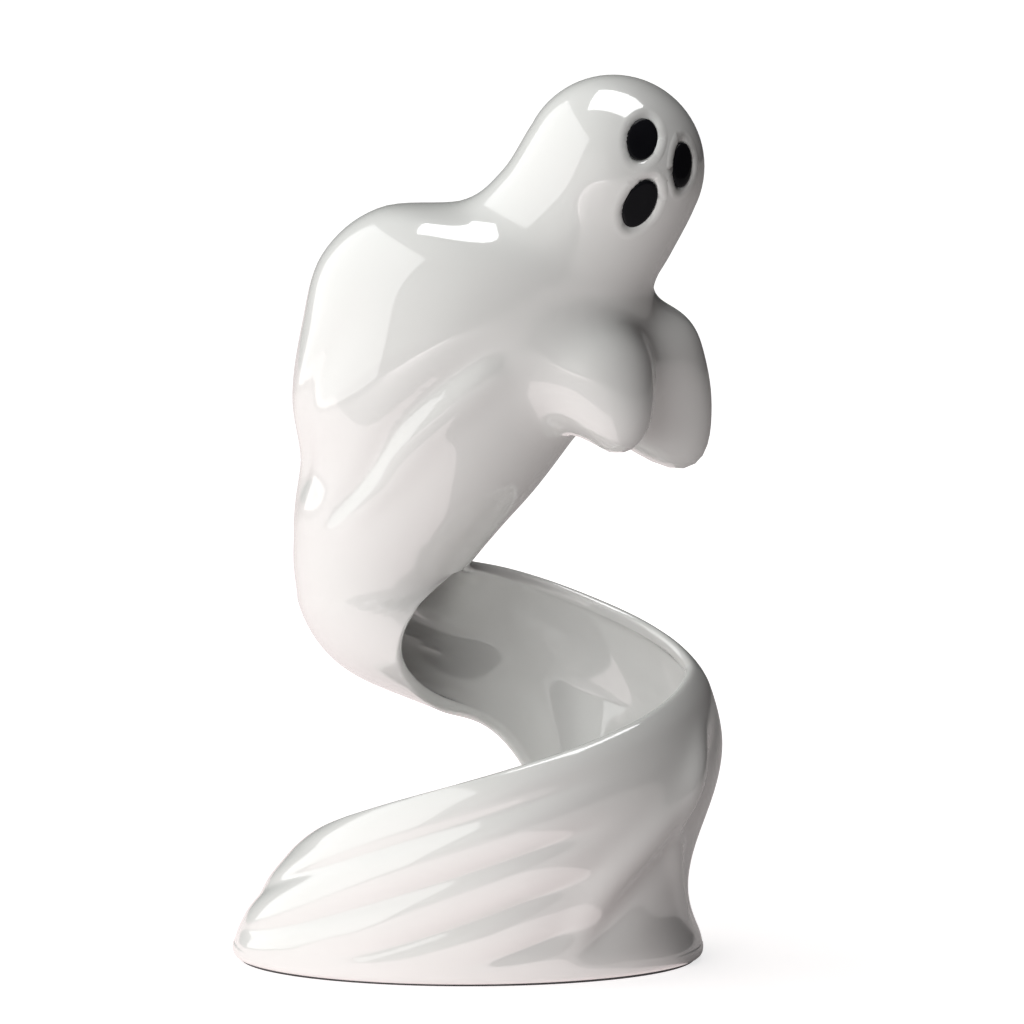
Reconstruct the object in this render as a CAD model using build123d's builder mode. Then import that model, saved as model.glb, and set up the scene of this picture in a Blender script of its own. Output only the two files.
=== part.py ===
from build123d import *

import os
from math import cos, degrees, hypot, pi, radians, sin, sqrt

# Glazed ceramic ghost figure: a sheet ghost that rises out of a swirl of its own cloth.
# Millimetres, +Z up, +X to the right of the figure as it is looked at, -Y towards the onlooker.
# The origin is on the table, under the axis that the cloth swirls about, and a turn is measured
# in degrees about that axis: 0 is the right-hand side, 90 the back and -90 the front.

# Casting
WALL = 4.0

# Foot: a felt sheet under an oval floor slab that carries the standing cloth
HEM_LENGTH = 135.5
HEM_DEPTH = 106.0
HEM_SHIFT = -2.0
FELT_THICKNESS = 1.2
FELT_INSET = 4.0
FLOOR_THICKNESS = 4.5
FLOOR_ROUND = 3.0

# Skirt: a standing sheet whose rim sinks steadily as it goes round the front
RIM_HEIGHT = 82.0
RIM_CLIMB = 98.0
RIM_RADIUS = 54.5
RIM_SHIFT = 7.5
RIM_BACK_INSET = 9.0
RIM_FRONT_INSET = 3.0
SKIRT_PINCH = 5.0
SKIRT_BULGE = 5.0
SEAM_TURN = 45.0
SKIRT_TURN = 300.0
SEAM_GAP = 0.2

# Folds of the skirt, which slant down to the left across the front
FOLD_DEPTH = 1.6
FOLD_COUNT = 9
FOLD_SLANT = 1.9

# Swirl: the body's tube opens along its front, turns under and goes round the back
WAIST_WIDTH = 50.0
WAIST_DEPTH = 54.0
WAIST_HEIGHT = 112.0
WAIST_BACK = 4.0
PIVOT_CLEARANCE = 1.5
TUBE_BACK = 12.0
TUBE_DROP = 22.0
FRONT_EDGE_START = -172.0
FRONT_EDGE_END = -10.0
REAR_EDGE_START = 172.0
REAR_EDGE_END = 132.0
EDGE_LIFT = 0.6
OPENING_RATE = 2.6
UPRIGHT_FROM = 0.8
TURN_FROM = 0.3
BLEND_FROM = 0.35
LANDING_FROM = 0.5
LANDING_RATE = 2.5

# Body sections from the waist up: middle X, Y and Z, width, depth and lean in degrees
WAIST = (-PIVOT_CLEARANCE - WAIST_WIDTH / 2, WAIST_BACK, WAIST_HEIGHT, WAIST_WIDTH, WAIST_DEPTH, 0.0)
HIPS = (-21.2, 2.0, 125.5, 58.6, 57.0, -4.0)
BELLY = (-15.2, 0.0, 138.5, 66.8, 60.0, -6.0)
RIBS = (-11.5, -1.0, 154.0, 79.8, 65.0, -8.0)
CHEST = (-5.5, -2.0, 170.7, 87.5, 67.0, -12.0)
SHOULDERS = (0.3, -3.0, 186.2, 90.0, 65.0, -16.5)
UPPER_BACK = (9.8, -4.0, 196.8, 81.0, 60.0, -21.0)
NECK = (22.5, -5.0, 202.5, 59.0, 53.0, -22.0)
THROAT = (31.0, -6.0, 211.5, 52.6, 50.0, -25.0)
BODY = (WAIST, HIPS, BELLY, RIBS, CHEST, SHOULDERS, UPPER_BACK, NECK, THROAT)

# Head
HEAD_DIAMETER = 51.0
HEAD_X = 38.6
HEAD_Y = -7.0
HEAD_Z = 224.8
HEAD_LEAN = -27.0
COLLAR_DEPTH = 4.0
COLLAR_RISE = 4.0
COLLAR_WALL = 3.0
COLLAR_CLEARANCE = 0.3

# Face: oval recesses with a pool of black glaze in each, on lines of sight out of the head's middle
FACE_TILT = 22.0
RECESS_DEPTH = 2.0
GLAZE_THICKNESS = 1.2
GLAZE_ROUND = 0.5
GLAZE_CLEARANCE = 0.1
EYE_WIDTH = 8.6
EYE_HEIGHT = 12.2
MOUTH_WIDTH = 9.0
MOUTH_HEIGHT = 14.0
RIGHT_EYE_SIGHT = (0.322, -0.835, 0.447)
LEFT_EYE_SIGHT = (0.78, -0.61, 0.137)
MOUTH_SIGHT = (0.304, -0.911, -0.277)

# Arms: stubs that bend down from the shoulders to a round tip, each about the middle of its bend
RIGHT_ARM_MIDDLE = (20.0, -12.0, 157.5)
RIGHT_ARM_HEADING = -33.0
RIGHT_ARM_BEND = 24.0
RIGHT_ARM_HANG = 3.0
RIGHT_ARM_ROOT = 22.0
RIGHT_ARM_WRIST = 9.0
RIGHT_ARM_TIP = 8.0
LEFT_ARM_MIDDLE = (34.0, 5.0, 160.0)
LEFT_ARM_HEADING = 3.0
LEFT_ARM_BEND = 22.0
LEFT_ARM_HANG = 12.0
LEFT_ARM_ROOT = 14.5
LEFT_ARM_WRIST = 9.0
LEFT_ARM_TIP = 7.8

# Fineness of the free-form surfaces
SHEET_POINTS = 17
SWIRL_STEPS = 26
SWIRL_SPACING = 1.25
SKIRT_STEPS = 30
RINGS_BETWEEN = 3
ARM_STEPS = 4
CROWN_ANGLES = (90, 66, 42, 20)
SLOPE_STEP = 0.001
CUT_ROOM = 3.0

SEAT_HEIGHT = FELT_THICKNESS + FLOOR_THICKNESS


def ease(share):
    """Smooth step from 0 to 1."""
    share = min(1.0, max(0.0, share))
    return share * share * (3 - 2 * share)


def mix(start, end, share):
    """Value a share of the way from start to end."""
    return start + (end - start) * share


def rim_height(turn):
    """Height of the rim's middle at a turn."""
    return RIM_HEIGHT + RIM_CLIMB * turn / 360


def rim_radius(turn):
    """Distance of the rim's middle from the axis at a turn."""
    side = sin(radians(turn))
    inset = RIM_BACK_INSET if side > 0 else RIM_FRONT_INSET
    return RIM_RADIUS + RIM_SHIFT * cos(radians(turn)) - inset * abs(side)


def hem_radius(turn):
    """Distance of the hem's middle line, a shifted oval, from the axis at a turn."""
    half_length = (HEM_LENGTH - WALL) / 2
    half_depth = (HEM_DEPTH - WALL) / 2
    across = cos(radians(turn)) / half_length
    along = sin(radians(turn)) / half_depth
    shift = HEM_SHIFT / half_length
    size = across * across + along * along
    return (across * shift + sqrt((across * shift) ** 2 - size * (shift * shift - 1))) / size


def skirt_point(turn, share):
    """Middle of the skirt's sheet, from just below its seat to the rim, as depth below the waist and radius."""
    top = rim_height(turn)
    height = mix(SEAT_HEIGHT - CUT_ROOM, top, share)
    fullness = top / RIM_HEIGHT
    rightness = (1 + cos(radians(turn))) / 2
    pinch = SKIRT_PINCH * rightness * fullness * sin(2 * pi * share)
    bulge = SKIRT_BULGE * (1 - rightness) * fullness * sin(pi * share)
    fade = fullness * sin(pi * share) * sin(pi * (SEAM_TURN - turn) / SKIRT_TURN)
    fold = FOLD_DEPTH * fade * sin(radians(FOLD_COUNT * (turn - FOLD_SLANT * height)))
    radius = mix(hem_radius(turn), rim_radius(turn), share) - pinch + bulge + fold
    return WAIST_HEIGHT - height, radius


def swirl_turn(place):
    """Turn that the swirl has reached at a place from 0, the waist, to 1, the seam."""
    return mix(90.0, SEAM_TURN, (max(0.0, place - TURN_FROM) / (1 - TURN_FROM)) ** 2)


def swirl_point(place, share):
    """Middle of the swirl's sheet at a place, from its front edge round to its rear edge."""
    opening = min(1.0, place / UPRIGHT_FROM)
    front = mix(FRONT_EDGE_END, FRONT_EDGE_START, (1 - opening) ** OPENING_RATE)
    rear = mix(REAR_EDGE_START, REAR_EDGE_END, opening)
    angle = radians(mix(front, rear, share))
    tube_drop = mix(-WAIST[0], TUBE_DROP, opening) + (WAIST_WIDTH - WALL) / 2 * cos(angle)
    tube_back = mix(WAIST_BACK, TUBE_BACK, opening) + (WAIST_DEPTH - WALL) / 2 * sin(angle)
    landing = (max(0.0, place - LANDING_FROM) / (1 - LANDING_FROM)) ** LANDING_RATE
    lowest = mix(EDGE_LIFT, 0.0, landing)
    skirt_drop, skirt_radius = skirt_point(swirl_turn(place), mix(lowest, 1.0, share))
    weight = ease((place - BLEND_FROM) / (1 - BLEND_FROM))
    return mix(tube_drop, skirt_drop, weight), mix(tube_back, skirt_radius, weight)


def swirl_plane(place):
    """Plane of the swirl's section at a place: level at the waist, then upright and turning."""
    tip = radians(-90 * (1 - min(1.0, place / UPRIGHT_FROM)) ** 2)
    turn = radians(swirl_turn(place))
    outward = Vector(cos(turn), sin(turn), 0)
    forward = Vector(cos(tip) * sin(turn), -cos(tip) * cos(turn), sin(tip))
    return Plane((0, 0, WAIST_HEIGHT), x_dir=outward.cross(forward), z_dir=forward)


def upright_plane(turn):
    """Upright plane through the axis at a turn, with X down and Y outward."""
    angle = radians(turn)
    return Plane((0, 0, WAIST_HEIGHT), x_dir=(0, 0, -1), z_dir=(sin(angle), -cos(angle), 0))


def sheet_section(plane, middle):
    """Cross-section of the cloth: a wall of even thickness with round edges, along a middle line."""
    outside = []
    inside = []
    ends = []
    for index in range(SHEET_POINTS):
        share = index / (SHEET_POINTS - 1)
        x, y = middle(share)
        x_before, y_before = middle(share - SLOPE_STEP)
        x_after, y_after = middle(share + SLOPE_STEP)
        length = hypot(x_after - x_before, y_after - y_before)
        along_x = (x_after - x_before) / length * WALL / 2
        along_y = (y_after - y_before) / length * WALL / 2
        outside.append((x + along_y, y - along_x))
        inside.append((x - along_y, y + along_x))
        ends.append(((x - along_x, y - along_y), (x + along_x, y + along_y)))
    with BuildSketch(plane) as section:
        with BuildLine():
            Spline(*outside)
            ThreePointArc(outside[-1], ends[-1][1], inside[-1])
            Spline(*reversed(inside))
            ThreePointArc(inside[0], ends[0][0], outside[0])
        make_face()
    return section.sketch


def glide(stations, place):
    """Values at a place along a list of stations, on a smooth curve through them."""
    index = min(int(place), len(stations) - 2)
    t = place - index
    before = stations[max(0, index - 1)]
    after = stations[min(len(stations) - 1, index + 2)]
    values = []
    for a, b, c, d in zip(before, stations[index], stations[index + 1], after):
        values.append(b + t / 2 * (c - a + t * (2 * a - 5 * b + 4 * c - d + t * (3 * b - 3 * c + d - a))))
    return values


def tilted_plane(x, y, z, lean):
    """Plane through a point, level in Y, that leans about Y by degrees."""
    angle = radians(lean)
    return Plane((x, y, z), x_dir=(cos(angle), 0, sin(angle)), z_dir=(-sin(angle), 0, cos(angle)))


def oval(plane, width, depth):
    """Oval outline on a plane."""
    with BuildSketch(plane) as outline:
        Ellipse(width / 2, depth / 2)
    return outline.sketch


def body_sections(inset, reach):
    """Ovals from the waist to the crown, drawn in by an inset, the first carried down by a reach."""
    stations = [(x, y, z, width - 2 * inset, depth - 2 * inset, lean) for x, y, z, width, depth, lean in BODY]
    radius = HEAD_DIAMETER / 2 - inset
    head_plane = tilted_plane(HEAD_X, HEAD_Y, HEAD_Z, HEAD_LEAN)
    for angle in CROWN_ANGLES:
        middle = head_plane.offset(radius * cos(radians(angle))).origin
        across = 2 * radius * sin(radians(angle))
        stations.append((middle.X, middle.Y, middle.Z, across, across, HEAD_LEAN))
    crown = head_plane.offset(radius).origin
    rings = []
    for step in range((len(stations) - 1) * RINGS_BETWEEN + 1):
        x, y, z, width, depth, lean = glide(stations, step / RINGS_BETWEEN)
        drop = reach if step == 0 else 0.0
        rings.append(oval(tilted_plane(x, y, z - drop, lean), width, depth))
    return rings + [Vertex(crown.X, crown.Y, crown.Z)]


def arm_sections(middle, heading, bend, hang, root, wrist, tip):
    """Rounds along an arm that bends from level, at the root, to hanging straight down."""
    outward = Vector(cos(radians(heading)), sin(radians(heading)), 0)
    across = outward.cross(Vector(0, 0, 1))
    rounds = []
    for step in range(ARM_STEPS + 1):
        angle = radians(90 * step / ARM_STEPS)
        along = outward * cos(angle) - Vector(0, 0, sin(angle))
        centre = Vector(*middle) + outward * bend * sin(angle) + Vector(0, 0, bend * cos(angle))
        radius = mix(root, wrist, ease(step / ARM_STEPS))
        plane = Plane(centre, x_dir=across, z_dir=along)
        rounds.append(oval(plane, 2 * radius, 2 * radius))
    rounds.append(oval(plane.offset(hang), 2 * tip, 2 * tip))
    return rounds, plane.offset(hang).origin


def face_plane(sight):
    """Plane on the head's skin where a line of sight from its middle leaves it, with Y up the face."""
    line = Axis((HEAD_X, HEAD_Y, HEAD_Z), sight)
    hits = [hit for face in body.faces() for hit in face.find_intersection_points(line)]
    point, normal = max(hits, key=lambda hit: (hit[0] - line.position).dot(line.direction))
    up = Vector(sin(radians(FACE_TILT)), 0, cos(radians(FACE_TILT)))
    return Plane(point, x_dir=up.cross(normal), z_dir=normal)


# Standing cloth in two castings that meet at an upright seam
swirl_sections = []
for step in range(SWIRL_STEPS + 1):
    place = (step / SWIRL_STEPS) ** SWIRL_SPACING
    swirl_sections.append(sheet_section(swirl_plane(place), lambda share: swirl_point(place, share)))

with BuildPart() as swirl:
    loft(sections=swirl_sections)
    split(bisect_by=Plane.XY.offset(SEAT_HEIGHT), keep=Keep.TOP)

skirt_sections = []
skirt_start = SEAM_TURN - degrees(SEAM_GAP / RIM_RADIUS)
for step in range(SKIRT_STEPS + 1):
    turn = mix(skirt_start, SEAM_TURN - SKIRT_TURN, step / SKIRT_STEPS)
    skirt_sections.append(sheet_section(upright_plane(turn), lambda share: skirt_point(turn, share)))

with BuildPart() as skirt:
    loft(sections=skirt_sections)
    split(bisect_by=Plane.XY.offset(SEAT_HEIGHT), keep=Keep.TOP)

# Floor slab with a rounded edge, and the felt under it
with BuildPart() as base_floor:
    with BuildSketch(Plane.XY.offset(FELT_THICKNESS)):
        with Locations((HEM_SHIFT, 0)):
            Ellipse(HEM_LENGTH / 2, HEM_DEPTH / 2)
    extrude(amount=FLOOR_THICKNESS)
    fillet(base_floor.edges().sort_by(Axis.Z)[0], radius=FLOOR_ROUND)

with BuildPart() as base_felt:
    with BuildSketch():
        with Locations((HEM_SHIFT, 0)):
            Ellipse(HEM_LENGTH / 2 - FELT_INSET, HEM_DEPTH / 2 - FELT_INSET)
    extrude(amount=FELT_THICKNESS)

# Body from the waist to the crown, cast hollow and parted at the neck
neck_x, neck_y, neck_z, neck_width, neck_depth, neck_lean = NECK
neck_plane = tilted_plane(neck_x, neck_y, neck_z, neck_lean)

with BuildPart() as body:
    loft(sections=body_sections(0.0, 0.0))

with BuildPart() as cavity:
    loft(sections=body_sections(WALL, CUT_ROOM))

with BuildPart() as torso:
    add(body.part)
    add(cavity.part, mode=Mode.SUBTRACT)
    split(bisect_by=neck_plane, keep=Keep.BOTTOM)

face_spots = {
    "right_eye": (face_plane(RIGHT_EYE_SIGHT), EYE_WIDTH, EYE_HEIGHT),
    "left_eye": (face_plane(LEFT_EYE_SIGHT), EYE_WIDTH, EYE_HEIGHT),
    "mouth": (face_plane(MOUTH_SIGHT), MOUTH_WIDTH, MOUTH_HEIGHT),
}

with BuildPart() as head:
    add(body.part)
    add(cavity.part, mode=Mode.SUBTRACT)
    split(bisect_by=neck_plane, keep=Keep.TOP)
    # Register collar that drops into the neck of the torso
    collar_width = neck_width - 2 * WALL - 2 * COLLAR_CLEARANCE
    collar_depth = neck_depth - 2 * WALL - 2 * COLLAR_CLEARANCE
    with BuildSketch(neck_plane.offset(-COLLAR_DEPTH)):
        Ellipse(collar_width / 2, collar_depth / 2)
        Ellipse(collar_width / 2 - COLLAR_WALL, collar_depth / 2 - COLLAR_WALL, mode=Mode.SUBTRACT)
    extrude(amount=COLLAR_DEPTH + COLLAR_RISE)
    # Recesses of the face
    for plane, width, height in face_spots.values():
        with BuildSketch(plane.offset(-RECESS_DEPTH)):
            Ellipse(width / 2, height / 2)
        extrude(amount=2 * RECESS_DEPTH, mode=Mode.SUBTRACT)

# Pools of black glaze, one in each recess
glaze_pools = {}
for name, (plane, width, height) in face_spots.items():
    with BuildPart() as pool:
        with BuildSketch(plane.offset(-RECESS_DEPTH)):
            Ellipse(width / 2 - GLAZE_CLEARANCE, height / 2 - GLAZE_CLEARANCE)
        extrude(amount=GLAZE_THICKNESS)
        fillet(pool.faces().sort_by(Axis(plane.origin, plane.z_dir))[-1].edges(), radius=GLAZE_ROUND)
    glaze_pools[name] = pool

# Arms, trimmed to the skin of the body they are luted to
right_rounds, right_tip = arm_sections(
    RIGHT_ARM_MIDDLE, RIGHT_ARM_HEADING, RIGHT_ARM_BEND, RIGHT_ARM_HANG, RIGHT_ARM_ROOT, RIGHT_ARM_WRIST, RIGHT_ARM_TIP
)
with BuildPart() as right_arm:
    loft(sections=right_rounds)
    with Locations(right_tip):
        Sphere(RIGHT_ARM_TIP)
    add(body.part, mode=Mode.SUBTRACT)

left_rounds, left_tip = arm_sections(
    LEFT_ARM_MIDDLE, LEFT_ARM_HEADING, LEFT_ARM_BEND, LEFT_ARM_HANG, LEFT_ARM_ROOT, LEFT_ARM_WRIST, LEFT_ARM_TIP
)
with BuildPart() as left_arm:
    loft(sections=left_rounds)
    with Locations(left_tip):
        Sphere(LEFT_ARM_TIP)
    add(body.part, mode=Mode.SUBTRACT)

pieces = {
    "head": head,
    "torso": torso,
    "right_arm": right_arm,
    "left_arm": left_arm,
    "swirl": swirl,
    "skirt": skirt,
    "base_floor": base_floor,
    "base_felt": base_felt,
    **glaze_pools,
}
os.makedirs("parts", exist_ok=True)
for name, piece in pieces.items():
    piece.part.label = name
    export_step(piece.part, f"parts/{name}.step")
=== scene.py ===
from math import cos, exp, hypot, pi, radians, sin, sqrt

import bmesh
import bpy
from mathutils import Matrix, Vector


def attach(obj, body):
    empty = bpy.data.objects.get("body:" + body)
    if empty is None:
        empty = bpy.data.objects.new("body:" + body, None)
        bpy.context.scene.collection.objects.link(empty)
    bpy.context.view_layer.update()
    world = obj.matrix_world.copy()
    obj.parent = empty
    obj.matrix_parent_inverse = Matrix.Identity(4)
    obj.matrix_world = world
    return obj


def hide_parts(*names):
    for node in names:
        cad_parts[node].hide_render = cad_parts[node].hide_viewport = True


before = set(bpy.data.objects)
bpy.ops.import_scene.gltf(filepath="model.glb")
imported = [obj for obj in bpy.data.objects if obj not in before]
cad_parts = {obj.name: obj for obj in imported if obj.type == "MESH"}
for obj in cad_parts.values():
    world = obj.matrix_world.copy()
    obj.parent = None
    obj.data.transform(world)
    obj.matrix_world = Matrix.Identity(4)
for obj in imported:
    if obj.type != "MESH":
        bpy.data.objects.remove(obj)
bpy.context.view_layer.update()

scene = bpy.context.scene

# Camera
# A long lens straight in front of the figure and a little above the table, as a catalogue
# picture of an ornament is taken. The frame is square and 287 mm wide at the figure.
CAMERA_DISTANCE = 5.0
CAMERA_HEIGHT_ANGLE = radians(8)
FRAME_WIDTH = 0.2867
SENSOR_WIDTH = 36
aim = Vector((0.0104, 0, 0.1264))
camera_data = bpy.data.cameras.new("camera")
camera_data.sensor_width = SENSOR_WIDTH
camera_data.lens = SENSOR_WIDTH * CAMERA_DISTANCE / FRAME_WIDTH
camera = bpy.data.objects.new("camera", camera_data)
scene.collection.objects.link(camera)
towards_camera = Vector((0, -cos(CAMERA_HEIGHT_ANGLE), sin(CAMERA_HEIGHT_ANGLE)))
camera.location = aim + CAMERA_DISTANCE * towards_camera
camera.rotation_euler = towards_camera.to_track_quat("Z", "Y").to_euler()
scene.camera = camera

# White casting
# The ghost's whole sheet is one wall of slip-cast white earthenware, 4 mm thick: head, body and arms,
# the tube that opens at the waist, the swirl round the back and the skirt that comes round the front.
# The castings are luted together with slip and glazed over, so no seam is left to see.

# Lengths are in millimetres and turns in degrees until the finished mesh is scaled to metres
MM = 0.001
WALL = 4.0

# Columns and rows of the flat grid that becomes the sheet, from the crown down to the end of the skirt
ACROSS = 98
EDGE_COLUMNS = 6
CROWN_ROWS = 20
BODY_ROWS = 74
SWIRL_ROWS = 58
SKIRT_ROWS = 150
ROWS = CROWN_ROWS + BODY_ROWS + SWIRL_ROWS + SKIRT_ROWS


def ease(share):
    """Smooth step from 0 to 1."""
    share = min(1.0, max(0.0, share))
    return share * share * (3 - 2 * share)


def mix(start, end, share):
    """Value a share of the way from start to end."""
    return start + (end - start) * share


def hump(distance, width):
    """Rounded hump of height 1, centred on 0."""
    return exp(-((distance / width) ** 2))


# The skirt's hem is a shifted oval, and its rim sinks as it goes round
HEM_LENGTH = 135.5
HEM_DEPTH = 106.0
HEM_SHIFT = -2.0
HEM_LOWEST = 0.8
HEM_ROLL = 8.0
HEM_TUCK = 2.0
RIM_HEIGHT = 82.0
RIM_CLIMB = 98.0
RIM_RADIUS = 54.5
RIM_SHIFT = 7.5
RIM_BACK_INSET = 9.0
RIM_FRONT_INSET = 3.0
RIM_ROLL = 5.0
RIM_ROLL_SHARE = 0.8
SKIRT_PINCH = 5.0
SKIRT_BULGE = 5.0

# The skirt starts at the seam with the swirl and turns clockwise. Its rows stand closer at the pleat.
SEAM_TURN = 45.0
SKIRT_TURN = 300.0
CLOSE_ROWS_TURNS = (5.0, -45.0)
CLOSE_ROWS_SHARES = (0.11, 0.4)


def hem_radius(turn):
    """Distance of the hem's middle line, a shifted oval, from the swirl's axis."""
    half_length = (HEM_LENGTH - WALL) / 2
    half_depth = (HEM_DEPTH - WALL) / 2
    across = cos(radians(turn)) / half_length
    along = sin(radians(turn)) / half_depth
    shift = HEM_SHIFT / half_length
    size = across * across + along * along
    return (across * shift + sqrt((across * shift) ** 2 - size * (shift * shift - 1))) / size


def skirt_turn(share):
    """Turn at a share of the skirt's rows, which stand closer at the pleat on the right."""
    first, last = CLOSE_ROWS_SHARES
    if share < first:
        return mix(SEAM_TURN, CLOSE_ROWS_TURNS[0], share / first)
    if share < last:
        return mix(*CLOSE_ROWS_TURNS, (share - first) / (last - first))
    return mix(CLOSE_ROWS_TURNS[1], SEAM_TURN - SKIRT_TURN, (share - last) / (1 - last))


# Drapery folds across the front, with slopes in millimetres of height a degree of turn.
# They keep a gap to the hem and the rim, and fade there and at both ends of the front.
FOLD_DEPTH = 1.8
FOLD_SPACING = 14.3
FOLD_SLOPE = 0.34
FOLD_TURN = -94.0
FOLD_HEIGHT = 25.0
FOLD_SHARPNESS = 0.4
FOLD_RIGHT_END = -48.0
FOLD_RIGHT_FADE = 30.0
FOLD_LEFT_END = -215.0
FOLD_LEFT_FADE = 60.0
FOLD_HEM_GAP = 3.0
FOLD_HEM_FADE = 12.0
FOLD_RIM_GAP = 2.0
FOLD_RIM_FADE = 14.0

# One broad fold that comes down more steeply on the right, with a hollow under it
BROAD_SLOPE = 1.03
BROAD_TURN = -22.0
BROAD_HEIGHT = 56.0
BROAD_RISE = 1.5
BROAD_WIDTH = 8.0
HOLLOW_DROP = 17.0
HOLLOW_WIDTH = 9.0
BROAD_RIGHT_END = -12.0
BROAD_RIGHT_FADE = 14.0
BROAD_LEFT_END = -66.0
BROAD_LEFT_FADE = 18.0

# Pleat down the right-hand side, bowed towards the front half-way up, with a valley behind it
PLEAT_TURN = -9.0
PLEAT_BOW = 17.0
PLEAT_BOW_HEIGHT = 47.0
PLEAT_BOW_WIDTH = 24.0
PLEAT_RISE = 1.1
PLEAT_WIDTH = 3.4
VALLEY_DEPTH = 1.5
VALLEY_BEHIND = 9.0
VALLEY_WIDTH = 5.5
PLEAT_HEM_GAP = 6.0
PLEAT_HEM_FADE = 12.0
PLEAT_RIM_GAP = 5.0
PLEAT_RIM_FADE = 16.0


def skirt_point(turn, share):
    """Height and radius of the skirt's wall, from the hem to the rim."""
    top = RIM_HEIGHT + RIM_CLIMB * turn / 360
    height = mix(HEM_LOWEST, top, share)
    side = sin(radians(turn))
    rim_inset = RIM_BACK_INSET if side > 0 else RIM_FRONT_INSET
    rim_radius = RIM_RADIUS + RIM_SHIFT * cos(radians(turn)) - rim_inset * abs(side)
    fullness = top / RIM_HEIGHT
    rightness = (1 + cos(radians(turn))) / 2
    pinch = SKIRT_PINCH * rightness * fullness * sin(2 * pi * share)
    bulge = SKIRT_BULGE * (1 - rightness) * fullness * sin(pi * share)
    # The folds sweep down to the left across the front
    fade = fullness * ease((height - FOLD_HEM_GAP) / FOLD_HEM_FADE)
    fade *= ease((top - FOLD_RIM_GAP - height) / FOLD_RIM_FADE)
    lift = height - FOLD_SLOPE * (turn - FOLD_TURN)
    phase = 2 * pi * (lift - FOLD_HEIGHT) / FOLD_SPACING
    wave = cos(phase - FOLD_SHARPNESS * sin(phase))
    fold = FOLD_DEPTH * ease((FOLD_RIGHT_END - turn) / FOLD_RIGHT_FADE)
    fold *= ease((turn - FOLD_LEFT_END) / FOLD_LEFT_FADE)
    fold *= wave
    beside = height - BROAD_HEIGHT - BROAD_SLOPE * (turn - BROAD_TURN)
    broad = BROAD_RISE * hump(beside, BROAD_WIDTH) - hump(beside + HOLLOW_DROP, HOLLOW_WIDTH)
    right_fade = ease((BROAD_RIGHT_END - turn) / BROAD_RIGHT_FADE)
    left_fade = ease((turn - BROAD_LEFT_END) / BROAD_LEFT_FADE)
    fold += FOLD_DEPTH * right_fade * left_fade * broad
    fold *= fade
    past_ridge = turn - PLEAT_TURN + PLEAT_BOW * hump(height - PLEAT_BOW_HEIGHT, PLEAT_BOW_WIDTH)
    pleat = PLEAT_RISE * hump(past_ridge, PLEAT_WIDTH)
    pleat -= VALLEY_DEPTH * hump(past_ridge - VALLEY_BEHIND, VALLEY_WIDTH)
    hem_fade = ease((height - PLEAT_HEM_GAP) / PLEAT_HEM_FADE)
    rim_fade = ease((top - PLEAT_RIM_GAP - height) / PLEAT_RIM_FADE)
    pleat *= hem_fade * rim_fade
    # The hem rolls under at the table
    roll = HEM_TUCK * max(0.0, 1 - height / HEM_ROLL) ** 2
    # The rim turns in a little, so that its edge looks up and out
    into_roll = max(0.0, height - top + RIM_ROLL)
    turned = RIM_ROLL - sqrt(max(0.0, RIM_ROLL ** 2 - into_roll ** 2 * RIM_ROLL_SHARE))
    radius = mix(hem_radius(turn), rim_radius, share) - pinch + bulge + fold + pleat - roll - turned
    return height, radius


# The tube at the waist, which tips over from upright to level as it opens. Angles go round its section.
WAIST_WIDTH = 50.0
WAIST_DEPTH = 54.0
WAIST_HEIGHT = 112.0
WAIST_X = -26.5
WAIST_Y = 4.0
BACK_TURN = 90.0
OPEN_PLACE = 0.8
OPEN_DROP = 22.0
OPEN_BACK = 12.0
FRONT_EDGE_ANGLE = -10.0
REAR_EDGE_ANGLE = 132.0
ELBOW_FLATTENING = 6.0
ELBOW_TIP = 27.0
ELBOW_SPREAD = 27.0
LEVEL_SAG = 2.0
LEVEL_SPREAD = 12.0
OPENING_CURVE = 2.6
ROW_CROWDING = 1.25

# Shares of the way from the waist to the skirt after which the swirl turns, sinks and becomes the skirt
TURNS_AFTER = 0.3
SINKS_AFTER = 0.5
SKIRT_AFTER = 0.35

# Share of the skirt's height that the swirl's front edge sinks from
SINKS_FROM = 0.6


def swirl_turn(place):
    """Turn that the swirl has reached on its way from the waist, 0, to the skirt, 1."""
    return mix(BACK_TURN, SEAM_TURN, (max(0.0, place - TURNS_AFTER) / (1 - TURNS_AFTER)) ** 2)


def swirl_point(place, share):
    """Drop below the waist and distance back of the swirl's wall, from its front edge to its rear edge."""
    opening = min(1.0, place / OPEN_PLACE)
    front = mix(FRONT_EDGE_ANGLE, -180.0, (1 - opening) ** OPENING_CURVE)
    rear = mix(180.0, REAR_EDGE_ANGLE, opening)
    angle = radians(mix(front, rear, share))
    # The underside of the elbow is flatter than a round tube and sags a little where it is level
    tip = 90 * (1 - opening) ** 2
    flatter = ELBOW_FLATTENING * hump(tip - ELBOW_TIP, ELBOW_SPREAD) - LEVEL_SAG * hump(tip, LEVEL_SPREAD)
    tube_drop = mix(-WAIST_X, OPEN_DROP, opening) + (WAIST_WIDTH - WALL) / 2 * cos(angle)
    tube_drop -= flatter * max(0.0, cos(angle))
    tube_back = mix(WAIST_Y, OPEN_BACK, opening) + (WAIST_DEPTH - WALL) / 2 * sin(angle)
    # The tube's section passes over into the skirt's, whose front edge sinks to the floor
    lowest = mix(SINKS_FROM, 0.0, (max(0.0, place - SINKS_AFTER) / (1 - SINKS_AFTER)) ** 2)
    skirt_height, skirt_radius = skirt_point(swirl_turn(place), mix(lowest, 1.0, share))
    weight = ease((place - SKIRT_AFTER) / (1 - SKIRT_AFTER))
    return mix(tube_drop, WAIST_HEIGHT - skirt_height, weight), mix(tube_back, skirt_radius, weight)


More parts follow.
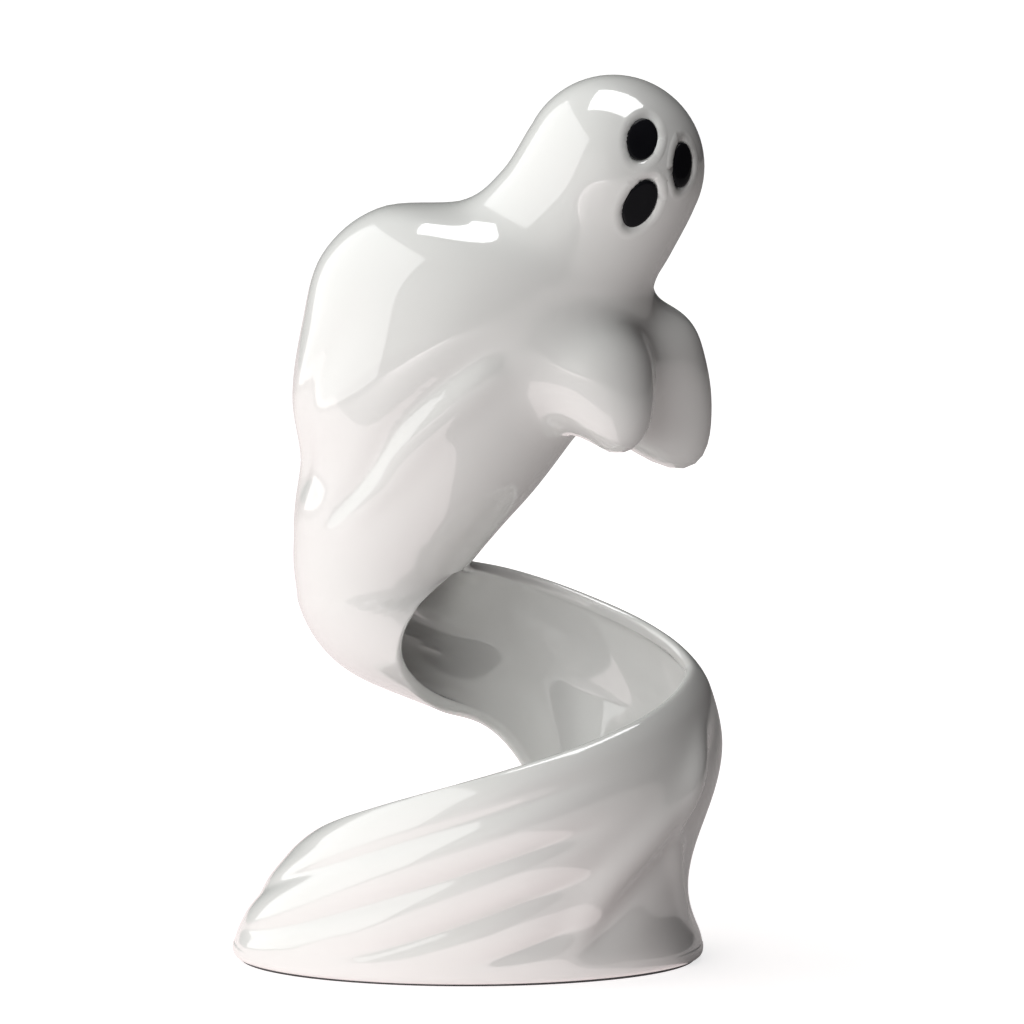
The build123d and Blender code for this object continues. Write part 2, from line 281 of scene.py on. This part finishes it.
# Rings of the body from the waist to the widest part of the head: middle X, Y, Z, width, depth, lean.
# One more ring past the widest part steers the end of the curve.
RINGS = [
    (WAIST_X, WAIST_Y, WAIST_HEIGHT, WAIST_WIDTH, WAIST_DEPTH, 0.0),
    (-21.2, 2.0, 125.5, 58.6, 57.0, -4.0),
    (-15.2, 0.0, 138.5, 66.8, 60.0, -6.0),
    (-11.5, -1.0, 154.0, 79.8, 65.0, -8.0),
    (-5.5, -2.0, 170.7, 87.5, 67.0, -12.0),
    (0.3, -3.0, 186.2, 90.0, 65.0, -16.5),
    (9.8, -4.0, 196.8, 81.0, 60.0, -21.0),
    (22.5, -5.0, 202.5, 59.0, 53.0, -22.0),
    (31.0, -6.0, 211.5, 52.6, 50.0, -25.0),
]
HEAD = Vector((38.6, -7.0, 224.8))
HEAD_RADIUS = 25.5
HEAD_LEAN = -27.0
head_up = Vector((-sin(radians(HEAD_LEAN)), 0, cos(radians(HEAD_LEAN))))
for angle in (90, 66):
    middle = HEAD + head_up * HEAD_RADIUS * cos(radians(angle))
    wide = 2 * HEAD_RADIUS * sin(radians(angle))
    RINGS.append((*middle, wide, wide, HEAD_LEAN))


def body_ring(place):
    """Values of the body's ring at a place between two listed rings, on a smooth curve through them."""
    index = min(int(place), len(RINGS) - 3)
    share = place - index
    around = (RINGS[max(0, index - 1)], RINGS[index], RINGS[index + 1], RINGS[index + 2])
    values = []
    for before, start, end, after in zip(*around):
        bend = 3 * start - 3 * end + after - before
        slope = 2 * before - 5 * start + 4 * end - after + share * bend
        values.append(start + share / 2 * (end - before + share * slope))
    return values


# Two soft folds low on the body: angle and height they start from, degrees round a millimetre down,
# and rises or hollows beside the fold's line, each with its height, its place in degrees and its width
FIRST_ANGLE = -87.0
FIRST_HEIGHT = 166.0
FIRST_SLOPE = 0.9
FIRST_RISES = ((1.5, -11, 9), (-2.0, 0, 7))
SECOND_ANGLE = -40.0
SECOND_HEIGHT = 171.0
SECOND_SLOPE = 0.68
SECOND_RISES = ((-0.9, 0, 9), (0.5, 12, 9))
FOLDS_LOWEST = 120.0
FOLDS_LOW_FADE = 16.0
FOLDS_HIGHEST = 186.0
FOLDS_HIGH_FADE = 22.0


def torso_fold(angle, height):
    """Soft folds low on the ghost's back and side, as far as they stand out of the ring."""
    degrees = angle * 180 / pi
    first = degrees - FIRST_ANGLE - (FIRST_HEIGHT - height) * FIRST_SLOPE
    second = degrees - SECOND_ANGLE - (SECOND_HEIGHT - height) * SECOND_SLOPE
    folds = 0.0
    for line, rises in ((first, FIRST_RISES), (second, SECOND_RISES)):
        for rise, past, width in rises:
            folds += rise * hump(line - past, width)
    low_fade = ease((height - FOLDS_LOWEST) / FOLDS_LOW_FADE)
    high_fade = ease((FOLDS_HIGHEST - height) / FOLDS_HIGH_FADE)
    return low_fade * high_fade * folds


def sheet_point(share, row):
    """Place of the middle of the wall, in millimetres."""
    if row < CROWN_ROWS + BODY_ROWS:
        angle = radians(360 * share - 180)
        if row < CROWN_ROWS:
            tip = radians(90 * row / CROWN_ROWS)
            middle = HEAD + head_up * (HEAD_RADIUS - WALL / 2) * cos(tip)
            half_width = half_depth = (HEAD_RADIUS - WALL / 2) * sin(tip)
            lean = HEAD_LEAN
        else:
            place = (len(RINGS) - 2) * (1 - (row - CROWN_ROWS) / BODY_ROWS)
            x, y, z, width, depth, lean = body_ring(place)
            middle = Vector((x, y, z))
            stand = torso_fold(angle, z)
            half_width = (width - WALL) / 2 + stand
            half_depth = (depth - WALL) / 2 + stand
        across = Vector((cos(radians(lean)), 0, sin(radians(lean))))
        return middle - across * half_width * cos(angle) + Vector((0, half_depth * sin(angle), 0))
    row -= CROWN_ROWS + BODY_ROWS
    if row < SWIRL_ROWS:
        place = (row / SWIRL_ROWS) ** ROW_CROWDING
        tip = radians(-90 * (1 - min(1.0, place / OPEN_PLACE)) ** 2)
        turn = radians(swirl_turn(place))
        outward = Vector((cos(turn), sin(turn), 0))
        forward = Vector((cos(tip) * sin(turn), -cos(tip) * cos(turn), sin(tip)))
        drop, back = swirl_point(place, share)
        return Vector((0, 0, WAIST_HEIGHT)) + outward.cross(forward) * drop + outward * back
    row = (row - SWIRL_ROWS) / SKIRT_ROWS
    turn = skirt_turn(row)
    height, radius = skirt_point(turn, share)
    return Vector((radius * cos(radians(turn)), radius * sin(radians(turn)), height))


cloth = bmesh.new()
bmesh.ops.create_grid(cloth, x_segments=ACROSS, y_segments=ROWS, size=1)


def flat_row(vert):
    """Row of a vertex that is still in the flat grid."""
    return (vert.co.y + 1) / 2 * ROWS


def flat_to_sheet(vert):
    """Place on the sheet of a vertex that is still in the flat grid. Columns crowd at the free edges."""
    column = (1 - abs(vert.co.x)) / 2 * ACROSS
    if column > EDGE_COLUMNS:
        crowded = column - EDGE_COLUMNS / 2
    else:
        crowded = column * column / (2 * EDGE_COLUMNS)
    share = crowded / (ACROSS - EDGE_COLUMNS)
    return sheet_point(share if vert.co.x < 0 else 1 - share, flat_row(vert))


# Balls along each arm, from the shoulder to the tip: middle and radius
ARMS = {
    "right_arm": (
        ((24, -14, 172), 16.0),
        ((34.5, -20, 168.5), 14.0),
        ((39, -23, 159), 10.8),
        ((40, -24, 153), 8.8),
    ),
    "left_arm": (
        ((38, 3, 175), 14.5),
        ((49, 4.5, 170.5), 13.0),
        ((54.5, 5.5, 159), 10.2),
        ((55.5, 6, 144), 9.2),
    ),
}
ARM_MIDDLE = Vector((22, -8, 172))
ARM_BLEND = 10.0
ARM_MARGIN = 5
ARM_LOWEST = 130
ARM_REACH = 50
ARM_SEARCHES = 60
ARM_SPONGING = 18
BALL_STEPS = 5
arm_balls = {}
for name, balls in ARMS.items():
    arm_balls[name] = []
    for (start, start_radius), (end, end_radius) in zip(balls, balls[1:]):
        for step in range(BALL_STEPS + 1):
            share = step / BALL_STEPS
            middle = Vector(start).lerp(Vector(end), share)
            arm_balls[name].append((middle, mix(start_radius, end_radius, share)))


def smooth_least(first, second, blend):
    """Lesser of two values, rounded off where they are nearly equal."""
    near = max(0.0, blend - abs(first - second)) / blend
    return min(first, second) - near * near * blend / 4


def arm_distance(point):
    """Distance of a point from the skin of the two arms, which run into each other."""
    distances = []
    for balls in arm_balls.values():
        distances.append(min((point - middle).length - radius for middle, radius in balls))
    return smooth_least(*distances, ARM_BLEND)


# Lines of sight from the middle of the head to the eyes and the mouth, with their half sizes
FACE = {
    "right_eye": (Vector((0.322, -0.835, 0.405)).normalized(), 4.3, 6.1),
    "left_eye": (Vector((0.785, -0.61, 0.085)).normalized(), 4.3, 6.1),
    "mouth": (Vector((0.304, -0.911, -0.335)).normalized(), 4.5, 7.0),
}
FACE_NEARNESS = 0.925

# Finer faces where the arms are drawn out and round the eyes and the mouth
near = set()
for vert in cloth.verts:
    if CROWN_ROWS < flat_row(vert) < CROWN_ROWS + BODY_ROWS:
        place = flat_to_sheet(vert)
        if place.x > 0 and arm_distance(place) < ARM_MARGIN:
            near.update(edge for face in vert.link_faces for edge in face.edges)
bmesh.ops.subdivide_edges(cloth, edges=list(near), cuts=1, use_grid_fill=True)
for values in FACE.values():
    near = set()
    for vert in cloth.verts:
        if flat_row(vert) < CROWN_ROWS + BODY_ROWS / 2:
            offset = flat_to_sheet(vert) - HEAD
            if offset.normalized().dot(values[0]) > FACE_NEARNESS:
                near.update(edge for face in vert.link_faces for edge in face.edges)
    bmesh.ops.subdivide_edges(cloth, edges=list(near), cuts=2, use_grid_fill=True)

# The grid laid out as the sheet, whose wall thins to a round at its free edges
THINNING_ROWS = 6
SAME_PLACE = 0.003
thinning = cloth.verts.layers.deform.verify()
for vert in cloth.verts:
    row = flat_row(vert)
    place = flat_to_sheet(vert)
    opened = row - CROWN_ROWS - BODY_ROWS
    edge = min((place - sheet_point(0, row)).length, (place - sheet_point(1, row)).length)
    edge = min(edge, (place - sheet_point((vert.co.x + 1) / 2, ROWS)).length)
    rounded = sqrt(max(0.0, 1 - max(0.0, 1 - 2 * edge / WALL) ** 2))
    vert[thinning][0] = mix(1.0, rounded, ease(opened / THINNING_ROWS))
    vert.co = place
bmesh.ops.remove_doubles(cloth, verts=cloth.verts, dist=SAME_PLACE)


def sponge(verts, times):
    """Smooth a group of vertices, as a damp sponge does with clay."""
    for time in range(times):
        bmesh.ops.smooth_vert(
            cloth, verts=verts, factor=0.5, use_axis_x=True, use_axis_y=True, use_axis_z=True
        )


# The arms drawn out of the chest in front of them, with a soft fillet all round
arm_skin = []
for vert in cloth.verts:
    if vert.co.z < ARM_LOWEST or vert.co.x < 0 or arm_distance(vert.co) > ARM_BLEND:
        continue
    own = (vert.co - ARM_MIDDLE).length
    way = (vert.co - ARM_MIDDLE).normalized()
    reach = own + ARM_REACH
    for step in range(ARM_SEARCHES):
        reach -= smooth_least(reach - own, arm_distance(ARM_MIDDLE + way * reach), ARM_BLEND)
    vert.co = ARM_MIDDLE + way * reach
    arm_skin.append(vert)
sponge(arm_skin, ARM_SPONGING)

# The joins under the right arm and at the waist sponged smooth
ARMPIT = Vector((25, -24, 151))
ARMPIT_SIZE = 11
WAIST_BAND = 9
WAIST_RIGHT = -4
JOIN_SPONGING = 25
armpit = [vert for vert in cloth.verts if (vert.co - ARMPIT).length < ARMPIT_SIZE]
waist = [
    vert for vert in cloth.verts if abs(vert.co.z - WAIST_HEIGHT) < WAIST_BAND and vert.co.x < WAIST_RIGHT
]
for join in (armpit, waist):
    sponge(join, JOIN_SPONGING)

# The eyes and the mouth pressed in, with a soft lip. Rings count in half sizes of the oval.
PRESS_DEPTH = 2.0
PRESS_REACH = 14
PRESS_RING = 1.04
PRESS_SLOPE = 0.28
LIP_HEIGHT = 0.14
LIP_RING = 1.36
LIP_WIDTH = 0.1
FACE_LEAN = 22
HEAD_LOWEST = 195


def nearness(vert, sight):
    """How near a vertex of the head is to a line of sight, 1 on the line."""
    return (vert.co - HEAD).normalized().dot(sight) if vert.co.z > HEAD_LOWEST else -1


cloth.normal_update()
face_spots = {}
for name, (sight, half_width, half_height) in FACE.items():
    nearest = max(cloth.verts, key=lambda vert: nearness(vert, sight))
    spot = HEAD + sight * (nearest.co - HEAD).length
    out = nearest.normal.copy()
    if out.dot(sight) < 0:
        out.negate()
    up = Vector((sin(radians(FACE_LEAN)), 0, cos(radians(FACE_LEAN))))
    side = up.cross(out).normalized()
    up = out.cross(side)
    face_spots[name] = (spot + out * WALL / 2, side, up, out)
    for vert in cloth.verts:
        offset = vert.co - spot
        if offset.length < PRESS_REACH:
            ring = hypot(offset.dot(side) / half_width, offset.dot(up) / half_height)
            vert.co -= out * PRESS_DEPTH * (1 - ease((ring - PRESS_RING) / PRESS_SLOPE))
            vert.co += out * LIP_HEIGHT * hump(ring - LIP_RING, LIP_WIDTH)

bmesh.ops.scale(cloth, vec=(MM, MM, MM), verts=cloth.verts)
bmesh.ops.recalc_face_normals(cloth, faces=cloth.faces)
for face in cloth.faces:
    face.smooth = True
cloth_mesh = bpy.data.meshes.new("white_casting")
cloth.to_mesh(cloth_mesh)
cloth.free()
casting = bpy.data.objects.new("white_casting", cloth_mesh)
scene.collection.objects.link(casting)
THINNEST_SHARE = 0.02
wall = casting.modifiers.new("wall", "SOLIDIFY")
wall.thickness = WALL * MM
wall.offset = 0
casting.vertex_groups.new(name="wall")
wall.vertex_group = "wall"
wall.thickness_vertex_group = THINNEST_SHARE
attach(casting, "root")
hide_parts("head", "torso", "right_arm", "left_arm", "swirl", "skirt")


class Wire:
    """One output of a shader node, with the sums that are used on it written as sums."""

    def __init__(self, tree, socket):
        self.tree = tree
        self.socket = socket

    def node(self, kind, settings=None, output=0, **values):
        """Add a node, set it up, fill its sockets with values or wires and give back one of its outputs."""
        made = self.tree.nodes.new(kind)
        for name, value in (settings or {}).items():
            setattr(made, name, value)
        for name, value in values.items():
            entry = made.inputs[int(name[1:])] if name[1:].isdigit() else made.inputs[name.replace("_", " ")]
            if isinstance(value, Wire):
                self.tree.links.new(value.socket, entry)
            else:
                entry.default_value = value
        return Wire(self.tree, made.outputs[output])

    def sums(self, operation, first, second):
        """Sum of two values or wires."""
        return self.node("ShaderNodeMath", {"operation": operation}, _0=first, _1=second)

    def __add__(self, other):
        return self.sums("ADD", self, other)

    def __rsub__(self, other):
        return self.sums("SUBTRACT", other, self)

    def __mul__(self, other):
        return self.sums("MULTIPLY", self, other)

    def __gt__(self, other):
        return self.sums("GREATER_THAN", self, other)

    def blend(self, first, second):
        """Colour that goes from the first to the second as this output goes from 0 to 1."""
        return self.node("ShaderNodeMix", {"data_type": "RGBA"}, 2, Factor=self, _6=first, _7=second)

    def rise(self, start, end):
        """Smooth step from 0 to 1 as this output goes from start to end."""
        smooth = {"interpolation_type": "SMOOTHSTEP"}
        return self.node("ShaderNodeMapRange", smooth, Value=self, From_Min=start, From_Max=end)

    def feed(self, shader, name):
        """Link this output to a named socket of a shader node."""
        self.tree.links.new(self.socket, shader.inputs[name])


def new_finish(name):
    """Material with its shader and a wire that carries the object's own coordinates."""
    finish = bpy.data.materials.new(name)
    finish.use_nodes = True
    tree = finish.node_tree
    place = tree.nodes.new("ShaderNodeTexCoord")
    return finish, tree.nodes["Principled BSDF"], Wire(tree, place.outputs["Object"])


# Clear glossy glaze over the white body: it pools a little thicker and greener in broad patches,
# has a faint orange-peel ripple from the firing and a pinhole here and there.
POOLED_WHITE = (0.80, 0.805, 0.785, 1)
THIN_WHITE = (0.84, 0.835, 0.825, 1)
BARE_CLAY = (0.55, 0.5, 0.44, 1)
PINHOLE_SIZE = 0.035
PINHOLE_STRENGTH = 0.12
GLAZE_ROUGHNESS = 0.14
SMEAR_ROUGHNESS = 0.05
white_glaze, glaze_shader, place = new_finish("white_glaze")
pooling = place.node("ShaderNodeTexNoise", Vector=place, Scale=22.0, Detail=2.0)
tint = pooling.blend(POOLED_WHITE, THIN_WHITE)
specks = place.node("ShaderNodeTexVoronoi", Vector=place, Scale=190.0)
pinhole = 1 - (specks > PINHOLE_SIZE)
speckled = (pinhole * PINHOLE_STRENGTH).blend(tint, BARE_CLAY)
speckled.feed(glaze_shader, "Base Color")
smears = place.node("ShaderNodeTexNoise", Vector=place, Scale=60.0, Detail=3.0)
(smears * SMEAR_ROUGHNESS + GLAZE_ROUGHNESS).feed(glaze_shader, "Roughness")
peel = place.node("ShaderNodeTexNoise", Vector=place, Scale=130.0, Detail=1.0)
ripple = place.node("ShaderNodeBump", Strength=0.012, Distance=0.001, Height=peel)
ripple.feed(glaze_shader, "Normal")
glaze_shader.inputs["IOR"].default_value = 1.55
glaze_shader.inputs["Coat Weight"].default_value = 1.0
glaze_shader.inputs["Coat Roughness"].default_value = 0.02
glaze_shader.inputs["Coat IOR"].default_value = 2.15
casting.data.materials.append(white_glaze)

# Floor slab
# An oval slab of the same white clay with a rounded edge, which the standing cloth is luted to.
# It is glazed with the rest, and shows at the back where the cloth is lifted off the table.
FELT_THICKNESS = 1.2
SLAB_THICKNESS = 4.5
SLAB_INSET = 1.6
SLAB_ROUNDING = 2
SHARP_CORNER = 1
slab = bmesh.new()
bmesh.ops.create_circle(slab, segments=180, radius=1, cap_ends=True)
bmesh.ops.scale(slab, vec=(HEM_LENGTH / 2 - SLAB_INSET, HEM_DEPTH / 2 - SLAB_INSET, 1), verts=slab.verts)
bmesh.ops.translate(slab, vec=(HEM_SHIFT, 0, FELT_THICKNESS), verts=slab.verts)
grown = bmesh.ops.extrude_face_region(slab, geom=slab.faces[:])["geom"]
upper = [item for item in grown if isinstance(item, bmesh.types.BMVert)]
bmesh.ops.translate(slab, vec=(0, 0, SLAB_THICKNESS), verts=upper)
bmesh.ops.recalc_face_normals(slab, faces=slab.faces)
corners = [edge for edge in slab.edges if edge.calc_face_angle() > SHARP_CORNER]
bmesh.ops.bevel(
    slab, geom=corners, offset=SLAB_ROUNDING, segments=5, profile=0.5, affect="EDGES", material=-1
)
bmesh.ops.scale(slab, vec=(MM, MM, MM), verts=slab.verts)
for face in slab.faces:
    face.smooth = True
slab_mesh = bpy.data.meshes.new("floor_slab")
slab.to_mesh(slab_mesh)
slab.free()
slab_mesh.materials.append(white_glaze)
floor_slab = bpy.data.objects.new("floor_slab", slab_mesh)
scene.collection.objects.link(floor_slab)
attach(floor_slab, "root")
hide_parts("base_floor")

# Eyes and mouth
# Pools of black glaze in the pressed ovals of the face, thick enough to keep a rounded edge
# and a slightly domed top that shines like wet ink.
DEEP_BLACK = (0.003, 0.003, 0.004, 1)
THIN_BLACK = (0.008, 0.008, 0.01, 1)
BLACK_ROUGHNESS = 0.06
UNEVEN_ROUGHNESS = 0.05
black_glaze, black_shader, place = new_finish("black_glaze")
depth_of_black = place.node("ShaderNodeTexNoise", Vector=place, Scale=90.0, Detail=2.0)
depth_of_black.blend(DEEP_BLACK, THIN_BLACK).feed(black_shader, "Base Color")
(depth_of_black * UNEVEN_ROUGHNESS + BLACK_ROUGHNESS).feed(black_shader, "Roughness")
dimples = place.node("ShaderNodeBump", Strength=0.02, Distance=0.001, Height=depth_of_black)
dimples.feed(black_shader, "Normal")
black_shader.inputs["IOR"].default_value = 1.25

# Rings of a pool from its underside to its top: size in half sizes of the oval, and depth below the glaze
POOL_RINGS = ((1.03, -1.9), (1.03, -1.25), (0.98, -1.0), (0.85, -0.84), (0.58, -0.75), (0.3, -0.7))
for name, (spot, side, up, out) in face_spots.items():
    half_width, half_height = FACE[name][1:]
    pool = bmesh.new()
    ring = bmesh.ops.create_circle(pool, segments=64, radius=1, cap_ends=True)["verts"]
    top = pool.faces[:]
    for step, (size, depth) in enumerate(POOL_RINGS):
        if step > 0:
            grown = bmesh.ops.extrude_face_region(pool, geom=top)["geom"]
            # The first face stays as the underside, and later ones would lie inside the pool
            if step > 1:
                bmesh.ops.delete(pool, geom=top, context="FACES")
            top = [item for item in grown if isinstance(item, bmesh.types.BMFace)]
            ring = [item for item in grown if isinstance(item, bmesh.types.BMVert)]
        for vert in ring:
            vert.co = vert.co.xy.normalized().to_3d() * size + Vector((0, 0, depth))
    for vert in pool.verts:
        x, y, depth = vert.co
        vert.co = (spot + side * x * half_width + up * y * half_height + out * depth) * MM
    bmesh.ops.recalc_face_normals(pool, faces=pool.faces)
    for face in pool.faces:
        face.smooth = True
    pool_mesh = bpy.data.meshes.new(name + "_pool")
    pool.to_mesh(pool_mesh)
    pool.free()
    pool_mesh.materials.append(black_glaze)
    piece = bpy.data.objects.new(name + "_pool", pool_mesh)
    scene.collection.objects.link(piece)
    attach(piece, "root")
    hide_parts(name)

# Felt
# A sheet of pressed charcoal felt glued under the floor so that the figure doesn't scratch the table.
# It is cut back from the edge and shows only as a thin dark line under the hem.
DARK_WOOL = (0.03, 0.03, 0.032, 1)
PALE_WOOL = (0.1, 0.1, 0.1, 1)
FIBRE_SHARE = 0.6
CLUMP_SHARE = 0.4
felt, felt_shader, place = new_finish("felt")
fibres = place.node("ShaderNodeTexNoise", Vector=place, Scale=900.0, Detail=4.0)
clumps = place.node("ShaderNodeTexNoise", Vector=place, Scale=160.0, Detail=2.0)
wool = (fibres * FIBRE_SHARE + clumps * CLUMP_SHARE).blend(DARK_WOOL, PALE_WOOL)
wool.feed(felt_shader, "Base Color")
nap = place.node("ShaderNodeBump", Strength=0.5, Distance=0.0005, Height=fibres)
nap.feed(felt_shader, "Normal")
felt_shader.inputs["Roughness"].default_value = 0.95
felt_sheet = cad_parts["base_felt"]
felt_sheet.data.materials.clear()
felt_sheet.data.materials.append(felt)

# Table
# A plain pale table top that glows white to the camera, a little dimmer within half a metre of the figure so
# that the figure's shadow on it shows.
# To the glaze and to the figure it glows only in a patch under the figure that reaches to the left and
# behind it: painted light that stands in for a pale card's reflection and bounce light. Elsewhere it glows
# only faintly and shows dark.
TABLE_HALF = 2.5
TABLE_PALE = (0.52, 0.48, 0.48, 1)
# Glow of the table outside the patch and inside it: painted light, seen only in the glaze and as light
# falling on the figure
TABLE_FAINT_GLOW = (0.04, 0.04, 0.04, 1)
CARD_PAINTED_LIGHT = (0.56, 0.5, 0.5, 1)
LIT_PATCH_FRONT = -0.28
LIT_PATCH_RIGHT = 0.06
GLOW_NEAR = 0.74
GLOW_MORE = 0.26
table = bmesh.new()
bmesh.ops.create_grid(table, x_segments=1, y_segments=1, size=TABLE_HALF)
table_mesh = bpy.data.meshes.new("table")
table.to_mesh(table_mesh)
table.free()
floor = bpy.data.objects.new("table", table_mesh)
scene.collection.objects.link(floor)
table_white, table_shader, place = new_finish("table_white")
table_shader.inputs["Base Color"].default_value = TABLE_PALE
table_shader.inputs["Roughness"].default_value = 0.9
across = place.node("ShaderNodeSeparateXYZ", None, 0, Vector=place)
depth = place.node("ShaderNodeSeparateXYZ", None, 1, Vector=place)
# Patch of the table that glows to the glaze and the figure, a painted reflection and painted bounce light in
# place of a card
painted_light_patch = (depth > LIT_PATCH_FRONT) * (1 - (across > LIT_PATCH_RIGHT))
painted_patch_glow = painted_light_patch.blend(TABLE_FAINT_GLOW, CARD_PAINTED_LIGHT)
distance = place.node("ShaderNodeVectorMath", {"operation": "LENGTH"}, 1, _0=place)
far = distance.rise(start=0.12, end=0.5)
seen = place.node("ShaderNodeLightPath")
# The camera sees the table glow white, dimmer near the figure; all other rays see the painted glow of the
# patch
glow = seen.blend(painted_patch_glow, far * GLOW_MORE + GLOW_NEAR)
glow.feed(table_shader, "Emission Color")
table_shader.inputs["Emission Strength"].default_value = 1.0
table_mesh.materials.append(table_white)

# Studio
# A long white panel down the left, a softbox overhead and a fill lamp in front that isn't seen in the glaze.
# The room is grey on the left and nearly black on the right, with a paler backdrop behind on the left.
# The camera itself sees white all round.


def softbox(name, place, target, width, height, power):
    """Rectangular lamp that shows in the glaze but not to the camera."""
    lamp = bpy.data.lights.new(name, "AREA")
    lamp.shape = "RECTANGLE"
    lamp.size = width
    lamp.size_y = height
    lamp.energy = power
    holder = bpy.data.objects.new(name, lamp)
    scene.collection.objects.link(holder)
    holder.location = place
    holder.rotation_euler = (Vector(place) - Vector(target)).to_track_quat("Z", "Y").to_euler()
    holder.visible_camera = False


softbox("left_panel", (-0.85, -0.05, 0.62), (0, -0.05, 0.4), width=1.9, height=1.2, power=5.8)
softbox("top_box", (0.05, 0.1, 1.15), (0, 0, 0.15), width=0.7, height=0.6, power=4.0)
softbox("front_fill", (-0.6, -1.4, 0.45), (0, 0, 0.12), width=0.9, height=0.9, power=11.5)
bpy.data.objects["front_fill"].visible_glossy = False

ROOM_LEFT = (0.3, 0.315, 0.29, 1)
ROOM_RIGHT = (0.03, 0.027, 0.028, 1)
BACKDROP = (0.45, 0.46, 0.45, 1)
WHITE = (1, 1, 1, 1)
world = bpy.data.worlds.new("studio")
scene.world = world
world.use_nodes = True
tree = world.node_tree
room = tree.nodes["Background"]
way = Wire(tree, tree.nodes.new("ShaderNodeTexCoord").outputs["Generated"])
right = way.node("ShaderNodeSeparateXYZ", None, 0, Vector=way)
back = way.node("ShaderNodeSeparateXYZ", None, 1, Vector=way)
behind = back.rise(start=0.15, end=0.55)
sideways = right.rise(start=-0.7, end=0.4)
grey = sideways.blend(ROOM_LEFT, ROOM_RIGHT)
around = (behind * (1 - sideways)).blend(grey, BACKDROP)
seen = way.node("ShaderNodeLightPath")
seen.blend(around, WHITE).feed(room, "Color")

scene.view_settings.view_transform = "Standard"
